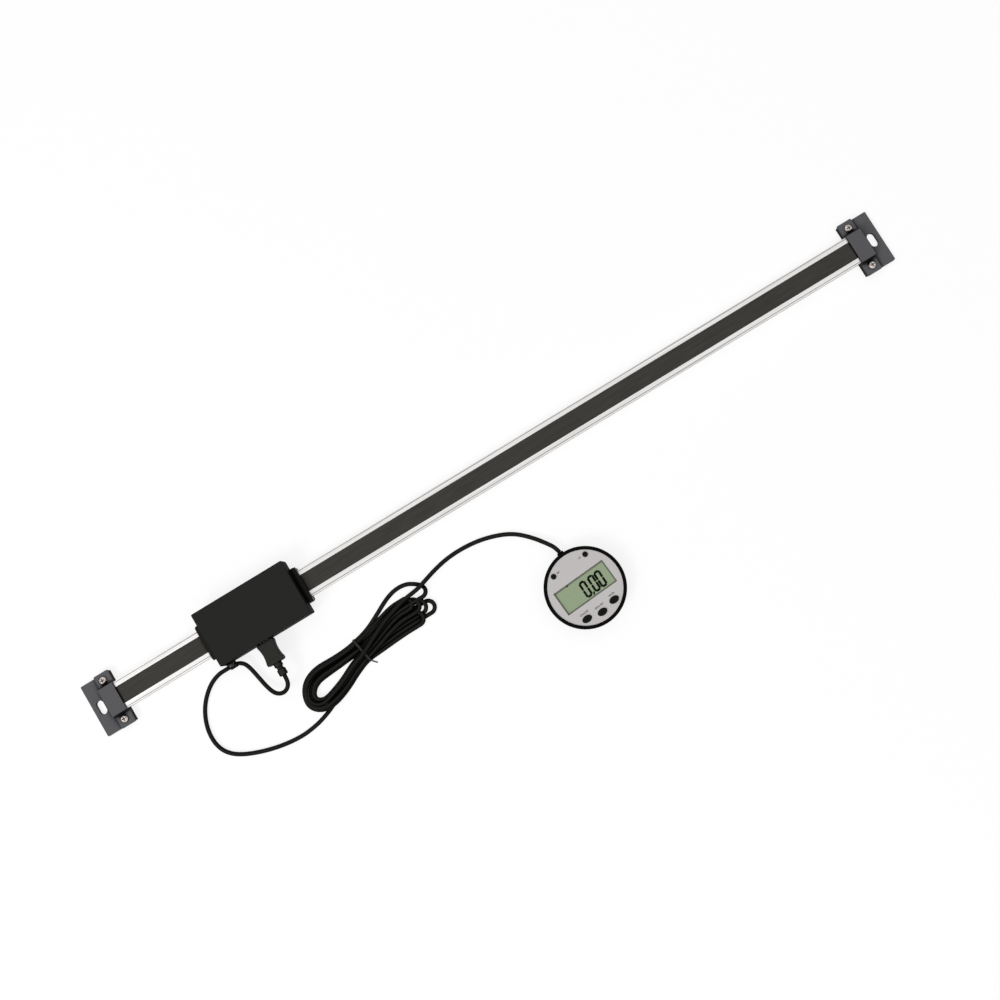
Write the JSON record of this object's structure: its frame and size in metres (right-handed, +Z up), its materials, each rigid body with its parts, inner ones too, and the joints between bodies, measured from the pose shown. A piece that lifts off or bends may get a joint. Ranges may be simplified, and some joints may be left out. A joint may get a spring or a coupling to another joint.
{
  "type": "digital linear scale",
  "caption": "Linear measuring scale: tape-topped rail between slotted end brackets, a reader head sliding on it, and a tied lead to a round display with push buttons.",
  "frame": {"origin": "centre of the left bracket's fixing slot, on the mounting plane", "axes": "+X along the rail towards the right bracket, +Y across the rail away from the lead, +Z up from the mounting plane"},
  "size_m": [0.6626, 0.1575, 0.022],
  "materials": {
    "bright_aluminium": "fine brushed, clear anodised",
    "scale_tape": "matte glass-fibre laminate",
    "charcoal_enamel": "satin enamel",
    "zinc_steel": "zinc plated",
    "black_anodised": "satin black anodised",
    "black_plastic": "fine texture",
    "glide_plastic": "acetal",
    "wiper_rubber": "soft matte",
    "board_laminate": "solder resist",
    "component_black": "moulded",
    "tinned_steel": "tin plated",
    "cable_jacket": "satin vinyl",
    "display_black": "satin",
    "face_grey": "matte film",
    "clear_window": "polished",
    "lcd_green": "reflective LCD",
    "button_rubber": "soft matte",
    "elastomer": "soft",
    "contact_brass": "nickel flash",
    "blackened_steel": "black oxide"
  },
  "bodies": {
    "scale_bar": {"rail": "bright_aluminium", "scale_tape": "scale_tape", "bracket_base_left": "charcoal_enamel", "bracket_base_right": "charcoal_enamel", "clamp_strap_left": "charcoal_enamel", "clamp_strap_right": "charcoal_enamel", "clamp_screws_left": "zinc_steel", "clamp_screws_right": "zinc_steel"},
    "reader_head": {"carriage": "black_anodised", "glide_strip_front": "glide_plastic", "glide_strip_rear": "glide_plastic", "wiper_left": "wiper_rubber", "wiper_right": "wiper_rubber", "wiper_screws": "blackened_steel", "head_cover": "black_plastic", "cover_screws": "zinc_steel", "sensor_plate": "board_laminate", "reader_board": "board_laminate", "board_screws": "zinc_steel", "board_components": "component_black", "plug_socket": "tinned_steel", "plug_tip": "tinned_steel", "plug_grip": "cable_jacket", "plug_strain_relief": "cable_jacket", "cable_clip": "black_plastic", "cable_clip_screw": "blackened_steel", "cable_lead": "cable_jacket", "cable_hank": "cable_jacket", "cable_tail": "cable_jacket", "hank_tie": "cable_jacket", "display_housing": "display_black", "face_plate": "face_grey", "lcd_window": "clear_window", "lcd_panel": "lcd_green", "elastomer_strips": "elastomer", "display_board": "board_laminate", "key_switches": "component_black", "coin_cell": "zinc_steel", "battery_contacts": "contact_brass", "battery_holder": "black_plastic", "battery_cover": "display_black", "display_magnets": "tinned_steel", "display_screws": "zinc_steel", "cable_grommet": "cable_jacket"},
    "button_oval_left": {"button_oval_left": "button_rubber"},
    "button_oval_middle": {"button_oval_middle": "button_rubber"},
    "button_oval_right": {"button_oval_right": "button_rubber"},
    "button_round_left": {"button_round_left": "button_rubber"},
    "button_round_right": {"button_round_right": "button_rubber"}
  },
  "joints": [
    {"name": "head_slide", "type": "slide", "parent": "scale_bar", "child": "reader_head", "axis": [1, 0, 0], "range_m": [-0.0703, 0.4599]},
    {"name": "button_oval_left_press", "type": "slide", "parent": "reader_head", "child": "button_oval_left", "axis": [0, 0, -1], "range_m": [0, 0.00045], "stiffness_N_per_m": 2500},
    {"name": "button_oval_middle_press", "type": "slide", "parent": "reader_head", "child": "button_oval_middle", "axis": [0, 0, -1], "range_m": [0, 0.00045], "stiffness_N_per_m": 2500},
    {"name": "button_oval_right_press", "type": "slide", "parent": "reader_head", "child": "button_oval_right", "axis": [0, 0, -1], "range_m": [0, 0.00045], "stiffness_N_per_m": 2500},
    {"name": "button_round_left_press", "type": "slide", "parent": "reader_head", "child": "button_round_left", "axis": [0, 0, -1], "range_m": [0, 0.00045], "stiffness_N_per_m": 2500},
    {"name": "button_round_right_press", "type": "slide", "parent": "reader_head", "child": "button_round_right", "axis": [0, 0, -1], "range_m": [0, 0.00045], "stiffness_N_per_m": 2500}
  ]
}
